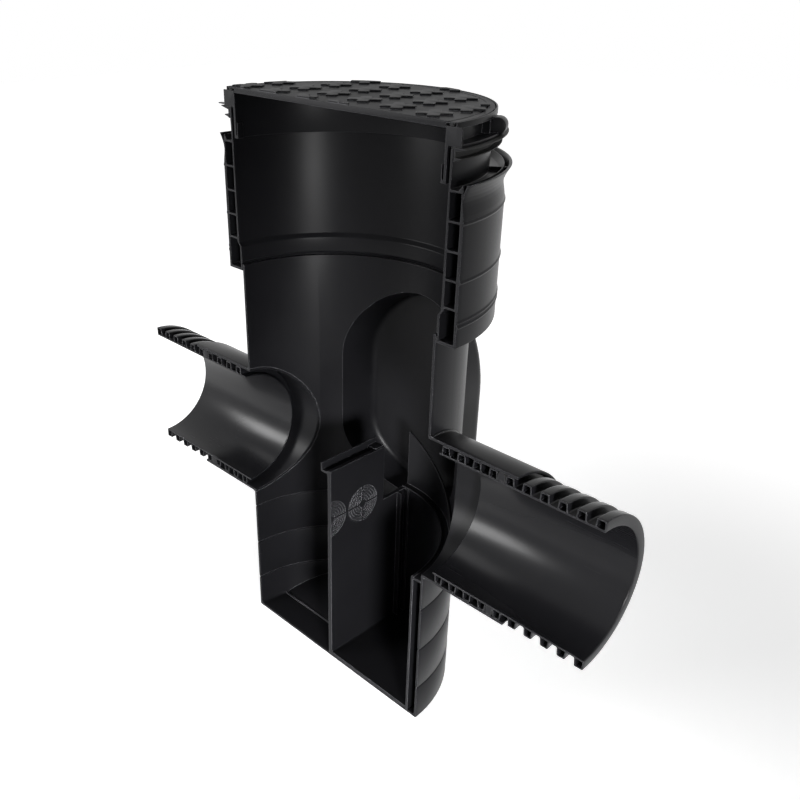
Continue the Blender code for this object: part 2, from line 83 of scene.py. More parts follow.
# One plastic or rubber: two close shades in slow clouds, a gloss that varies a little, a grain, and a painted
# highlight:
# a paler line along every edge and crease, which shows wherever the rounded normal leaves the surface's own.
# The pattern sizes are real sizes in mm, and stretch lengthens the grain along x, y or z.
def blackPolymer(name, look):
    material = bpy.data.materials.new(name)
    material.use_nodes = True
    tree = material.node_tree
    shader = tree.nodes["Principled BSDF"]
    place = addNode(tree, "ShaderNodeTexCoord").outputs["Object"]
    stretched = addNode(tree, "ShaderNodeMapping", {"Vector": place, "Scale": look["stretch"]}).outputs[0]
    clouds = addNode(tree, "ShaderNodeTexNoise", {
        "Vector": place, "Scale": 1 / (look["cloudSize"] * mm), "Detail": 3.0, "Roughness": 0.5})
    grain = addNode(tree, "ShaderNodeTexNoise", {
        "Vector": stretched, "Scale": 1 / (look["grainSize"] * mm), "Detail": 2.0, "Roughness": 0.55})
    shade = addNode(tree, "ShaderNodeMix", {
        "Factor": clouds.outputs["Fac"], "A": toLinear(look["dark"]), "B": toLinear(look["light"])},
        data_type="RGBA")
    both = addNode(tree, "ShaderNodeMath", {
        0: clouds.outputs["Fac"], 1: grain.outputs["Fac"]}, operation="ADD")
    gloss = addNode(tree, "ShaderNodeMapRange", {
        "Value": both.outputs[0], "From Min": 0.6, "From Max": 1.4,
        "To Min": look["roughness"] - look["spread"], "To Max": look["roughness"] + look["spread"]})
    tree.links.new(gloss.outputs["Result"], shader.inputs["Roughness"])
    rounded = addNode(tree, "ShaderNodeBevel", {"Radius": look["edge"] * mm}, samples=6)
    flat = addNode(tree, "ShaderNodeNewGeometry").outputs["Normal"]
    turn = addNode(tree, "ShaderNodeVectorMath", {
        0: rounded.outputs["Normal"], 1: flat}, operation="DOT_PRODUCT")
    # Painted highlight: a paler colour is mixed into the base colour along edges and creases, where the
    # rounded normal turns from the surface's own
    highlightShare = addNode(tree, "ShaderNodeMapRange", {
        "Value": turn.outputs["Value"], "From Min": 0.99, "From Max": 0.86,
        "To Min": 0.0, "To Max": look["highlightStrength"]})
    paintedHighlight = addNode(tree, "ShaderNodeMix", {
        "Factor": highlightShare.outputs["Result"], "A": shade.outputs["Result"], "B": toLinear(look["paintedHighlight"])},
        data_type="RGBA")
    tree.links.new(paintedHighlight.outputs["Result"], shader.inputs["Base Color"])
    bump = addNode(tree, "ShaderNodeBump", {
        "Height": grain.outputs["Fac"], "Distance": look["depth"] * mm, "Strength": 1.0,
        "Normal": rounded.outputs["Normal"]})
    tree.links.new(bump.outputs["Normal"], shader.inputs["Normal"])
    shader.inputs["IOR"].default_value = look["ior"]
    shader.inputs["Specular IOR Level"].default_value = look["specular"]
    return material


# The painted edge highlight on polypropylene: the width of the pale line along an edge or crease in mm, its
# colour and its strength
paintedEdgeHighlight = {"edge": 0.9, "paintedHighlight": "#77777b", "highlightStrength": 0.8}
# Injection-moulded polypropylene: near black, satin, with a faint orange peel from the mould
mouldedPolypropylene = blackPolymer("mouldedPolypropylene", {
    "dark": "#121214", "light": "#18181a", "roughness": 0.32, "spread": 0.04, "ior": 1.49, "specular": 0.08,
    "cloudSize": 70.0, "grainSize": 2.2, "depth": 0.010, "stretch": (1.0, 1.0, 1.0),
    **paintedEdgeHighlight})
# Extruded polypropylene pipe: a little glossier, with draw lines along its length
extrudedPolypropylene = blackPolymer("extrudedPolypropylene", {
    "dark": "#101012", "light": "#151517", "roughness": 0.25, "spread": 0.03, "ior": 1.49, "specular": 0.17,
    "cloudSize": 60.0, "grainSize": 1.6, "depth": 0.012, "stretch": (0.03, 1.0, 1.0),
    **paintedEdgeHighlight})
# Spark-textured polypropylene of the cover: a fine even grain that keeps it from shining
texturedPolypropylene = blackPolymer("texturedPolypropylene", {
    "dark": "#18181a", "light": "#1e1e1f", "roughness": 0.50, "spread": 0.05, "ior": 1.49, "specular": 0.08,
    "cloudSize": 45.0, "grainSize": 1.1, "depth": 0.030, "stretch": (1.0, 1.0, 1.0),
    **paintedEdgeHighlight})
# Sawn polypropylene: the section faces, a shade paler, with fine marks left by the blade
sawnPolypropylene = blackPolymer("sawnPolypropylene", {
    "dark": "#1c1c1e", "light": "#232325", "roughness": 0.48, "spread": 0.05, "ior": 1.49, "specular": 0.08,
    "cloudSize": 25.0, "grainSize": 1.0, "depth": 0.012, "stretch": (1.0, 1.0, 0.08),
    **paintedEdgeHighlight})
# EPDM rubber of the seals: matt, with a dusty bloom
sealRubber = blackPolymer("sealRubber", {
    "dark": "#1b1b1b", "light": "#212120", "roughness": 0.60, "spread": 0.06, "ior": 1.52, "specular": 0.20,
    "cloudSize": 20.0, "grainSize": 0.9, "depth": 0.020, "stretch": (1.0, 1.0, 1.0),
    # a fainter painted highlight along the seals' edges and creases
    "edge": 0.5, "paintedHighlight": "#4a4a4a", "highlightStrength": 0.5})


# Shape helpers

# Points of an arc about a centre, from one angle to another in degrees, both ends included.
def arcPoints(centre, radius, first, last, steps):
    angles = np.radians(np.linspace(first, last, steps + 1))
    return np.stack([centre[0] + radius * np.cos(angles), centre[1] + radius * np.sin(angles)], axis=1)


# Rounds a closed outline: each corner P becomes the parabola from P+a to P+b with P as its control
# point, where a and b run along its two sides by the same cut, at most 0.45 of the shorter side.
def roundCorners(outline, cut, steps=resolution["cornerSteps"]):
    outline = np.asarray(outline, float)
    back = np.roll(outline, 1, axis=0) - outline
    ahead = np.roll(outline, -1, axis=0) - outline
    backLength = np.linalg.norm(back, axis=1)
    aheadLength = np.linalg.norm(ahead, axis=1)
    reach = np.minimum(cut, 0.45 * np.minimum(backLength, aheadLength))
    start = outline + back * (reach / backLength)[:, None]
    end = outline + ahead * (reach / aheadLength)[:, None]
    s = np.linspace(0.0, 1.0, steps + 1)[None, :, None]
    curve = (1 - s) ** 2 * start[:, None] + 2 * s * (1 - s) * outline[:, None] + s ** 2 * end[:, None]
    return curve.reshape(-1, 2)


# Turns each loop so that the material lies on its left: the first loop is the outline, the rest are holes.
def orientLoops(loops):
    turned = []
    for k, loop in enumerate(loops):
        loop = np.asarray(loop, float)
        ahead = np.roll(loop, -1, axis=0)
        area = np.sum(loop[:, 0] * ahead[:, 1] - ahead[:, 0] * loop[:, 1])
        turned.append(loop if (area > 0) == (k == 0) else loop[::-1])
    return turned


# The step that moves each point of a loop 1 mm into the material: (n1 + n2) / (1 + n1.n2), where n1
# and n2 are the inward normals of its two sides.
def inwardSteps(loop):
    side = np.roll(loop, -1, axis=0) - loop
    side /= np.linalg.norm(side, axis=1)[:, None]
    ahead = np.stack([-side[:, 1], side[:, 0]], axis=1)
    behind = np.roll(ahead, 1, axis=0)
    return (ahead + behind) / (1 + np.sum(ahead * behind, axis=1))[:, None].clip(0.3)


# Makes a piece from points in mm about the chamber's axis, merged, with its faces turned outwards.
def addPiece(name, points, faces):
    mesh = bpy.data.meshes.new(name)
    placed = (np.asarray(points).reshape(-1, 3) + (0.0, sectionY / mm, 0.0)) * mm
    mesh.from_pydata(placed.tolist(), [], faces)
    work = bmesh.new()
    work.from_mesh(mesh)
    bmesh.ops.remove_doubles(work, verts=work.verts, dist=1e-6)
    bmesh.ops.dissolve_degenerate(work, edges=work.edges, dist=1e-7)
    bmesh.ops.recalc_face_normals(work, faces=work.faces)
    work.to_mesh(mesh)
    work.free()
    thing = bpy.data.objects.new(name, mesh)
    bpy.context.scene.collection.objects.link(thing)
    return thing


# Carries a section, an outline with holes, through stations (t, shift, inset). At a station the section
# is drawn in by inset and carry(u, v, t, shift) gives its points. Both ends are closed. The side that a
# turned section has on its axis, u = 0, stays there and makes no faces.
def sweepSection(name, loops, carry, stations, turned=False):
    loops = orientLoops(loops)
    section = np.concatenate(loops)
    steps = np.concatenate([inwardSteps(loop) for loop in loops])
    onAxis = turned & (np.abs(section[:, 0]) < 1e-6)
    steps[onAxis, 0] = 0.0
    t, shift, inset = (column[:, None] for column in np.asarray(stations, float).T)
    u = section[None, :, 0] + inset * steps[None, :, 0]
    v = section[None, :, 1] + inset * steps[None, :, 1]
    x, y, z = np.broadcast_arrays(*carry(u, v, t, shift))
    points = np.stack([x, y, z], axis=-1)
    size = len(section)
    faces = []
    start = 0
    rows = np.arange(len(stations) - 1)[:, None] * size
    for loop in loops:
        here = start + np.arange(len(loop))
        there = start + (np.arange(len(loop)) + 1) % len(loop)
        shown = ~(onAxis[here] & onAxis[there])
        a, b = here[shown][None, :], there[shown][None, :]
        quads = np.stack([rows + a, rows + b, rows + size + b, rows + size + a], axis=-1)
        faces += quads.reshape(-1, 4).tolist()
        start += len(loop)
    cap = np.array(geometry.tessellate_polygon([[(*point, 0.0) for point in loop] for loop in loops]))
    faces += cap.tolist() + (cap[:, ::-1] + (len(stations) - 1) * size).tolist()
    return addPiece(name, points, faces)


# The quads of a grid of closed rings, each of size points, listed ring by ring.
def ringFaces(rings, size):
    here = np.arange(size)[None, :]
    there = (here + 1) % size
    rows = np.arange(rings - 1)[:, None] * size
    quads = np.stack([rows + here, rows + there, rows + size + there, rows + size + here], axis=-1)
    return quads.reshape(-1, 4).tolist()


# The stations of a rounded end: the quarter circle shift = e(1 - cos q), inset = e(1 - sin q).
def roundedEnd(edge):
    q = np.radians([0.0, 30.0, 60.0, 90.0])
    return edge * (1 - np.cos(q)), edge * (1 - np.sin(q))


# Stations of a half turn that starts and ends on the section plane, with a small round at each end.
def halfTurnStations(steps, turn=math.pi):
    edge = resolution["cutEdge"]
    shift, inset = roundedEnd(edge)
    middle = np.arange(1, steps) * turn / steps
    first = np.stack([0 * shift, shift, inset], axis=1)
    between = np.stack([middle, 0 * middle + edge, 0 * middle], axis=1)
    last = np.stack([0 * shift + turn, shift, inset], axis=1)[::-1]
    return np.concatenate([first, between, last])


# Turns a section of (radius, height) half way round the chamber's axis: x = r cos t, y = r sin t.
def turnedPiece(name, loops):
    def carry(radius, height, t, shift):
        return radius * np.cos(t), np.maximum(radius * np.sin(t), shift), height
    return sweepSection(name, loops, carry, halfTurnStations(resolution["halfTurn"]), turned=True)


# Turns a section of (reach, radius) half way round a pipe's axis, from its underside to its top:
# y = radius sin t, z = level - radius cos t. bend(reach, y) moves it along the pipe.
def turnedPipe(name, loops, side, level, bend=None):
    def carry(reach, radius, t, shift):
        y = np.maximum(radius * np.sin(t), shift)
        along = bend(reach, radius * np.sin(t)) if bend else reach
        return side * along, y, level - radius * np.cos(t)
    return sweepSection(name, loops, carry, halfTurnStations(resolution["pipeTurn"]))


# Pushes a rounded outline through levels. order says which way the outline's two coordinates and the
# levels run, and the ends are rounded by edge.
def prismPiece(name, outline, low, high, order="XYZ", edge=0.5):
    rise, inset = roundedEnd(edge)
    levels = np.concatenate([low + rise, (high - rise)[::-1]])
    insets = np.concatenate([inset, inset[::-1]])
    slots = ["XYZ".index(letter) for letter in order]

    def carry(u, v, t, shift):
        values = [None, None, None]
        for slot, value in zip(slots, (u, v, t + 0 * u)):
            values[slot] = value
        return values
    return sweepSection(name, [outline], carry, np.stack([levels, 0 * levels, insets], axis=1))


# A block between two values of x, y and z, with its edges rounded.
def boxPiece(name, x, y, z, edge=0.4):
    outline = roundCorners([(x[0], y[0]), (x[1], y[0]), (x[1], y[1]), (x[0], y[1])], edge)
    return prismPiece(name, outline, z[0], z[1], edge=edge)


# Turns a piece about the chamber's axis.
def spin(thing, degrees):
    toAxis = Matrix.Translation((0.0, sectionY, 0.0))
    thing.data.transform(toAxis @ Matrix.Rotation(math.radians(degrees), 4, "Z") @ toAxis.inverted())
    return thing


# Cuts or joins a piece with its tools, in order, and removes the tools.
def combine(target, tools):
    for tool, operation in tools:
        modifier = target.modifiers.new(tool.name, "BOOLEAN")
        modifier.object = tool
        modifier.operation = operation
        modifier.solver = "MANIFOLD"
    bpy.context.view_layer.update()
    shaped = bpy.data.meshes.new_from_object(target.evaluated_get(bpy.context.evaluated_depsgraph_get()))
    target.modifiers.clear()
    target.data = shaped
    for tool, operation in tools:
        bpy.data.objects.remove(tool)


# Adds the meshes of other pieces to a piece's own.
def joinInto(target, others):
    meshes = bmesh.new()
    meshes.from_mesh(target.data)
    for other in others:
        meshes.from_mesh(other.data)
        bpy.data.objects.remove(other)
    meshes.to_mesh(target.data)
    meshes.free()


# Smooths a piece up to its sharp edges, gives its faces on the section plane the sawn finish, and
# lets it ride in place of its CAD node.
def finishPiece(thing, node, body, material):
    mesh = thing.data
    mesh.materials.clear()
    mesh.materials.append(material)
    mesh.materials.append(sawnPolypropylene)
    count = len(mesh.polygons)
    centres = np.empty(count * 3)
    normals = np.empty(count * 3)
    mesh.polygons.foreach_get("center", centres)
    mesh.polygons.foreach_get("normal", normals)
    onPlane = np.abs(centres.reshape(-1, 3)[:, 1] - sectionY) < 0.002 * mm
    facing = normals.reshape(-1, 3)[:, 1] < -0.99
    mesh.polygons.foreach_set("material_index", (onPlane & facing).astype(np.int32))
    mesh.shade_smooth()
    mesh.set_sharp_from_angle(angle=math.radians(resolution["sharpAngle"]))
    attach(thing, body)
    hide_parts(node)
    print(node, len(mesh.polygons), "faces")


# Chamber

chamber = {
    "bore": 150.0, "wall": 3.0, "height": 512.6, "floor": 3.0,
    "ringFirst": 49.5, "ringPitch": 60.3, "ringCount": 3, "ringDepth": 1.4, "ringWidth": 3.4,
    "rimRound": 0.8, "footRound": 1.5, "floorRound": 4.0,
    "benchStart": 42.0, "benchRise": 45.08, "benchStrip": 37.0, "benchRound": 0.8,
    "benchLip": ((-2.2, -0.1), (-1.4, 1.6), (0.6, 1.9), (1.6, 0.8)),      # from its start, on the floor
}
dome = {
    "halfWidth": 98.5, "top": 477.5, "shoulder": 380.0, "hip": 283.0, "bottom": 190.0,
    "depth": 35.6, "draft": 14.0, "outerRound": 9.0, "innerRound": 6.0,
    "innerStart": 120.0,      # where the cut for its inside starts, well inside the bore
}
chamberRadius = chamber["bore"] + chamber["wall"]


# One side of a wall with moulded rings: radius + h(1 + cos(pi s))/2 over each ring's width.
def ringedSide(radius, levels, height, width):
    s = np.linspace(-1.0, 1.0, 9)
    z = np.asarray(levels, float)[:, None] + s[None, :] * width / 2
    r = radius + 0 * z + height * (1 + np.cos(math.pi * s))[None, :] / 2
    return np.stack([r.ravel(), z.ravel()], axis=1)


# The dome as a closed surface. An oval of unit half-width is carried outwards by the radius R from the
# chamber's axis, x = unit * half(R), y = sqrt(R^2 - x^2), drawn in by the draft and by a quarter circle
# at its back edge, and closed by rings that shrink to a point.
def domePiece(name, start, offset, edge):
    q = np.linspace(0.0, math.pi, resolution["ovalSteps"] + 1)
    upper = np.stack([np.cos(q), dome["shoulder"] + (dome["top"] - dome["shoulder"]) * np.sin(q)], axis=1)
    lower = np.stack([-np.cos(q), dome["hip"] - (dome["hip"] - dome["bottom"]) * np.sin(q)], axis=1)
    oval = np.concatenate([upper, lower])
    middle = (dome["shoulder"] + dome["hip"]) / 2
    tall = dome["top"] - middle
    deep = chamber["bore"] + dome["depth"] + offset
    slope = math.tan(math.radians(dome["draft"]))
    steps = resolution["domeSteps"]
    wall = np.linspace(start, deep - edge, steps + 1)
    quarter = np.linspace(0.0, math.pi / 2, steps + 1)[1:]
    radius = np.concatenate([wall, deep - edge + edge * np.sin(quarter)])
    tuck = np.concatenate([0 * wall, edge * (1 - np.cos(quarter))])
    shrink = offset - (radius - chamber["bore"]) * slope - tuck
    fill = np.linspace(0.0, 1.0, steps + 1)[:-1]
    share = np.concatenate([fill, 0 * radius + 1, fill[::-1]])[:, None]
    radius = np.concatenate([0 * fill + start, radius, 0 * fill + deep])[:, None]
    shrink = np.concatenate([0 * fill + shrink[0], shrink, 0 * fill + shrink[-1]])[:, None]
    x = oval[None, :, 0] * (dome["halfWidth"] + shrink) * share
    z = middle + (oval[None, :, 1] - middle) * (1 + shrink / tall) * share
    y = np.sqrt(radius ** 2 - x ** 2)
    return addPiece(name, np.stack([x, y, z], axis=-1), ringFaces(len(radius), len(oval)))


# The chamber: tube, floor and foot rings turned as one section, then the dome and the bench joined on
# and the two round holes for the sleeves cut out. The bench is a sloping strip with a small lip.
def makeChamber():
    levels = chamber["ringFirst"] + chamber["ringPitch"] * np.arange(chamber["ringCount"])
    outer = ringedSide(chamberRadius, levels, -chamber["ringDepth"], chamber["ringWidth"])
    inner = ringedSide(chamber["bore"], levels, chamber["ringDepth"], chamber["ringWidth"])[::-1]
    below = chamber["height"] / 2
    perCorner = resolution["cornerSteps"] + 1
    rim = roundCorners([(chamberRadius, below), (chamberRadius, chamber["height"]),
                        (chamber["bore"], chamber["height"]), (chamber["bore"], below)],
                       chamber["rimRound"])[perCorner:3 * perCorner]      # only its two upper corners
    foot = arcPoints((chamberRadius - chamber["footRound"], chamber["footRound"]),
                     chamber["footRound"], -90.0, 0.0, 4)
    fillet = chamber["floorRound"]
    floorCorner = arcPoints((chamber["bore"] - fillet, chamber["floor"] + fillet), fillet, 0.0, -90.0, 6)
    outline = np.concatenate([[(0.0, 0.0)], foot, outer, rim, inner, floorCorner, [(0.0, chamber["floor"])]])
    thing = turnedPiece("chamberBody", [outline])
    middle = chamber["bore"] + chamber["wall"] / 2
    tools = [(domePiece("domeOutside", middle, chamber["wall"], dome["outerRound"]), "UNION"),
             (domePiece("domeInside", dome["innerStart"], 0.0, dome["innerRound"]), "DIFFERENCE")]
    for side, level in ((1, inletPipe["level"]), (-1, outletPipe["level"])):
        hole = arcPoints((0.0, level), sleeve["holeRadius"], 0.0, 360.0, 2 * resolution["pipeTurn"])[:-1]
        reach = sorted(side * end for end in sleeve["holeEnds"])
        tools.append((prismPiece("sleeveHole", hole, *reach, order="YZX"), "DIFFERENCE"))
    start, floor = chamber["benchStart"], chamber["floor"]
    strip = [(start + along, floor + up) for along, up in chamber["benchLip"]]
    strip += [(chamberRadius, floor + chamber["benchRise"]), (chamberRadius, floor / 2), (start, floor / 2)]
    bench = prismPiece("bench", strip, -chamberRadius, -chamber["benchStrip"],
                       order="YZX", edge=chamber["benchRound"])
    drum = arcPoints((0.0, 0.0), middle, -10.0, 190.0, resolution["halfTurn"])
    limit = prismPiece("benchLimit", drum, floor / 3, floor + 2.5 * chamber["benchRise"])
    combine(bench, [(limit, "INTERSECT")])
    tools.append((bench, "UNION"))
    combine(thing, tools)
    finishPiece(thing, "chamber_body", "trap", mouldedPolypropylene)


# Pipe ends

sleeve = {
    "bore": 87.8, "wall": 3.0, "reach": 264.5, "flush": 150.3, "round": 0.7,
    "holeRadius": 91.1, "holeEnds": (75.0, 170.0), "bead": 2.4,
}
pipe = {
    "bore": 75.5, "liner": 2.0, "crest": 87.3, "skin": 1.4, "pitch": 20.2, "crestWidth": 11.1,
    "crestSlope": 0.9, "round": 1.3, "reach": 362.2,
    "sealChamfer": (1.5, 2.0), "sealRound": 0.8,
}
inletPipe = {"level": 308.4, "innerEnd": 166.0, "side": 1}
outletPipe = {"level": 285.1, "innerEnd": 160.1, "side": -1}


# A pipe's section as (reach, radius): rounded crests that taper outwards, each over a hollow cell.
def pipeLoops(innerEnd):
    liner = pipe["bore"] + pipe["liner"]
    count = int((pipe["reach"] - innerEnd) / pipe["pitch"])
    if pipe["reach"] - innerEnd - count * pipe["pitch"] > pipe["crestWidth"]:
        count += 1
    outline = [(innerEnd, pipe["bore"]), (pipe["reach"], pipe["bore"])]
    cells = []
    skin = pipe["skin"]
    for k in range(count):
        outer = pipe["reach"] - k * pipe["pitch"]
        inner = outer - pipe["crestWidth"]
        lean = pipe["crestSlope"] if k else 0.0
        if k:
            outline.append((outer, liner))
        outline += [(outer - lean, pipe["crest"]), (inner + pipe["crestSlope"], pipe["crest"]),
                    (inner, liner)]
        cell = [(inner + skin, liner), (outer - skin, liner),
                (outer - skin - lean, pipe["crest"] - skin),
                (inner + skin + pipe["crestSlope"], pipe["crest"] - skin)]
        cells.append(roundCorners(cell, pipe["round"]))
    if inner - innerEnd > 0.1:
        outline.append((innerEnd, liner))
    return [roundCorners(outline, pipe["round"])] + cells


# Where a line along the pipe at depth y meets a drum of the given radius about the chamber's axis.
def saddle(radius, y):
    return np.sqrt(np.maximum(radius ** 2 - y ** 2, 0.0))


# The weld bead: a ring of points, radius r + b cos(q)/2 and reach x + b(0.1 + 0.9 sin q), carried along
# the line where the sleeve, of outer radius r, meets the chamber at x.
def beadPiece(name, side, level):
    q = np.linspace(0.0, 2 * math.pi, 13)[:-1][None, :]
    t = np.linspace(0.0, math.pi, 2 * resolution["pipeTurn"] + 1)[:, None]
    radius = sleeve["bore"] + sleeve["wall"] + sleeve["bead"] * 0.5 * np.cos(q)
    y = radius * np.sin(t)
    x = saddle(chamberRadius, y) + sleeve["bead"] * (0.1 + np.sin(q) * 0.9)
    z = level - radius * np.cos(t)
    size = q.shape[1]
    ends = [list(range(size)), list(range((len(t) - 1) * size, len(t) * size))]
    return addPiece(name, np.stack([side * x, y, z], axis=-1), ringFaces(len(t), size) + ends)


# A pipe end: the twin-wall pipe, the rubber ring in one of its valleys, and the sleeve round both.
def makePipeEnd(name, end):
    side, level = end["side"], end["level"]
    tube = turnedPipe(name + "Pipe", pipeLoops(end["innerEnd"]), side, level)
    finishPiece(tube, name + "_pipe", "trap", extrudedPolypropylene)
    crest = pipe["reach"] - math.ceil((pipe["reach"] - sleeve["reach"]) / pipe["pitch"]) * pipe["pitch"]
    out = crest - pipe["crestWidth"] - seatGap
    inner = crest - pipe["pitch"] + seatGap
    low = pipe["bore"] + pipe["liner"] + seatGap
    high = sleeve["bore"] - seatGap
    along, down = pipe["sealChamfer"]
    ring = roundCorners([(inner, low), (out, low), (out, high - down), (out - along, high),
                         (inner + along, high), (inner, high - down)], pipe["sealRound"])
    seal = turnedPipe(name + "PipeSeal", [ring], side, level)
    finishPiece(seal, name + "_pipe_seal", "trap", sealRubber)
    bore, radius, reach = sleeve["bore"], sleeve["bore"] + sleeve["wall"], sleeve["reach"]
    flush = sleeve["flush"]
    section = roundCorners([(flush, bore), (reach, bore), (reach, radius), (flush, radius)], sleeve["round"])

    def bend(along, y):
        return reach - (reach - along) * (reach - saddle(flush, y)) / (reach - flush)
    tube = turnedPipe(name + "Sleeve", [section], side, level, bend=bend)
    joinInto(tube, [beadPiece(name + "Bead", side, level)])
    finishPiece(tube, name + "_sleeve", "trap", mouldedPolypropylene)


# Riser

riser = {
    "foot": 504.6, "height": 185.0, "bore": 157.6, "boreTop": 159.0, "wall": 3.0, "step": 32.7,
    "socketBore": 153.3, "socket": 8.0, "groove": 3.2, "shell": 178.0, "shellWall": 3.0,
    "webFirst": 38.3, "webPitch": 27.6, "webCount": 5, "webThickness": 2.0,
    "flareHeight": 156.4, "flareReach": 5.0, "neckBelowRim": 21.4, "neckInset": 2.3,
    "weltHeight": 1.1, "weltWidth": 4.2, "doubleWelt": 21.4, "doubleWeltSpacing": 5.0,
    "gussetAngles": (34, 79, 124, 169), "gussetThickness": 2.4, "gussetDrop": 3.0,
    "flareCurve": 1.6, "flareLead": 12.0, "flareInside": 9.0, "troughRound": (5.0, 6.0),
    "stepRise": 1.2, "stepDrop": 4.0, "stepInset": (0.4, 0.2), "grooveDepth": 1.5, "grooveRound": 0.8,
    "round": 0.7, "cellRound": 1.2,
}


# The riser: one section turned half way round, with an open cell between each pair of webs. Outside, the
# shell draws in by i sin(pi s)^2 up to s = 1/2 and then flares by (f + i)(2s - 1)^1.6 up to its rim. Inside,
# the tube steps in over the chamber's top, above a dark groove. Gussets stand in the trough at the top.
def makeRiser():
    foot = riser["foot"]
    webs = foot + riser["webFirst"] + riser["webPitch"] * np.arange(riser["webCount"])
    half = riser["webThickness"] / 2
    stepLevel = foot + riser["step"]
    shell, wall, inset = riser["shell"], riser["wall"], riser["neckInset"]
    shellBore = shell - riser["shellWall"]
    tube = riser["bore"] + wall
    rim = foot + riser["flareHeight"]
    top = foot + riser["height"]
    flare = shell + riser["flareReach"]
    welt = foot + riser["doubleWelt"]
    levels = [welt, welt + riser["doubleWeltSpacing"], webs[1], webs[3]]
    welts = ringedSide(shell, levels, riser["weltHeight"], riser["weltWidth"])
    s = np.linspace(0.0, 1.0, 9)
    lead = rim - riser["neckBelowRim"] - riser["flareLead"]
    drawn = inset * np.where(s < 0.5, np.sin(math.pi * s) ** 2, 1.0)
    spread = (flare - shell + inset) * np.clip(2 * s - 1, 0, 1) ** riser["flareCurve"]
    rise = np.stack([shell - drawn + spread, lead + (rim - lead) * s], axis=1)
    trough = webs[-1] + half
    troughAlong, troughUp = riser["troughRound"]
    socket = riser["socketBore"]
    grooveTop = foot + riser["socket"] + riser["groove"]
    grooveFoot = foot + riser["socket"] - riser["grooveDepth"]
    stepHigh, stepLow = riser["stepInset"]
    inside = [(flare - riser["shellWall"], rim),
              (shell - 0.6 * riser["shellWall"], rim - riser["flareInside"]),
              (shellBore, trough + troughUp), (shellBore - troughAlong, trough), (tube, trough),
              (riser["boreTop"] + wall, top), (riser["boreTop"], top),
              (riser["bore"], stepLevel + riser["stepRise"]),
              (socket + stepHigh, stepLevel - riser["stepDrop"]), (socket + stepLow, grooveTop),
              (socket + riser["grooveDepth"], grooveTop - riser["grooveRound"]),
              (socket + riser["grooveDepth"], grooveFoot), (socket, grooveFoot - 0.1)]
    outline = np.concatenate([[(socket, foot), (shell, foot)], welts, rise, inside])
    footTube = socket + wall
    cells = [[(footTube, foot + wall), (shellBore, foot + wall), (shellBore, webs[0] - half),
              (tube, webs[0] - half), (tube, stepLevel + wall / 2), (footTube, stepLevel - wall)]]
    back = shellBore - 0.4 * inset
    for low, high in zip(webs, webs[1:]):
        cells.append([(tube, low + half), (back, low + half), (back, high - half), (tube, high - half)])
    loops = [roundCorners(outline, riser["round"])]
    loops += [roundCorners(cell, riser["cellRound"]) for cell in cells]
    thing = turnedPiece("riserBody", loops)
    high = rim - riser["gussetDrop"]
    gusset = roundCorners([(tube - 1.0, webs[-1]), (shell - 1.0, webs[-1]), (flare - 2.0, high),
                           (tube - 1.0, high)], 0.8)      # sunk into the tube and the shell
    side = riser["gussetThickness"] / 2
    tools = []
    for degrees in riser["gussetAngles"]:
        plate = prismPiece("gusset", gusset, -side, side, order="XZY", edge=0.4)
        tools.append((spin(plate, degrees), "UNION"))
    combine(thing, tools)
    finishPiece(thing, "riser", "trap", mouldedPolypropylene)


riserSeal = {
    "wall": 2.0, "drop": 12.5, "cap": 1.2, "lowerFin": 7.1, "upperFin": 12.5, "fin": 0.9, "round": 0.4,
}


# The rubber ring over the riser's edge: a cap, a wall and two fins, the upper one longer.
def makeRiserSeal():
    fin = riserSeal["fin"]
    riserTop = riser["foot"] + riser["height"] + seatGap
    sealTop = riserTop + riserSeal["cap"]
    inner = riser["boreTop"] + riser["wall"] + seatGap
    outer = inner + riserSeal["wall"]
    foot = sealTop - riserSeal["drop"]
    lower, upper = outer + riserSeal["lowerFin"], outer + riserSeal["upperFin"]
    outline = [(inner, foot), (outer, foot), (outer, foot + fin), (lower, foot + 3 * fin),
               (lower, foot + 4 * fin), (outer, foot + 4 * fin), (outer, sealTop - 4 * fin),
               (upper, sealTop - fin), (upper, sealTop), (riser["boreTop"], sealTop),
               (riser["boreTop"], riserTop), (inner, riserTop)]
    thing = turnedPiece("riserSeal", [roundCorners(outline, riserSeal["round"])])
    finishPiece(thing, "riser_seal", "trap", sealRubber)


# Cover

coverFrame = {
    "bore": 151.9, "radius": 165.0, "foot": 691.4, "height": 16.9, "lipHeight": 3.7, "lipWidth": 1.6,
    "flange": 170.9, "flangeThickness": 2.8, "skirtWall": 3.0, "skirtDrop": 33.4,
    "clipReach": 3.1, "clipHeight": 16.5, "clipWall": 1.0, "clipFoot": 2.8, "clipWidth": 8.0,
    "pocketCount": 8, "pocketRib": 1.3, "pocketDepth": 8.0, "pocketRoof": 1.6, "endRib": 1.6,
    "lugAngles": (27, 90, 153), "lugWidth": 16.0, "lugRadius": 8.0, "lugReach": 177.2, "lugRound": 1.4,
    "tabReach": 181.5, "tabThickness": 1.2, "tabWidth": 5.0, "round": 0.6,
}


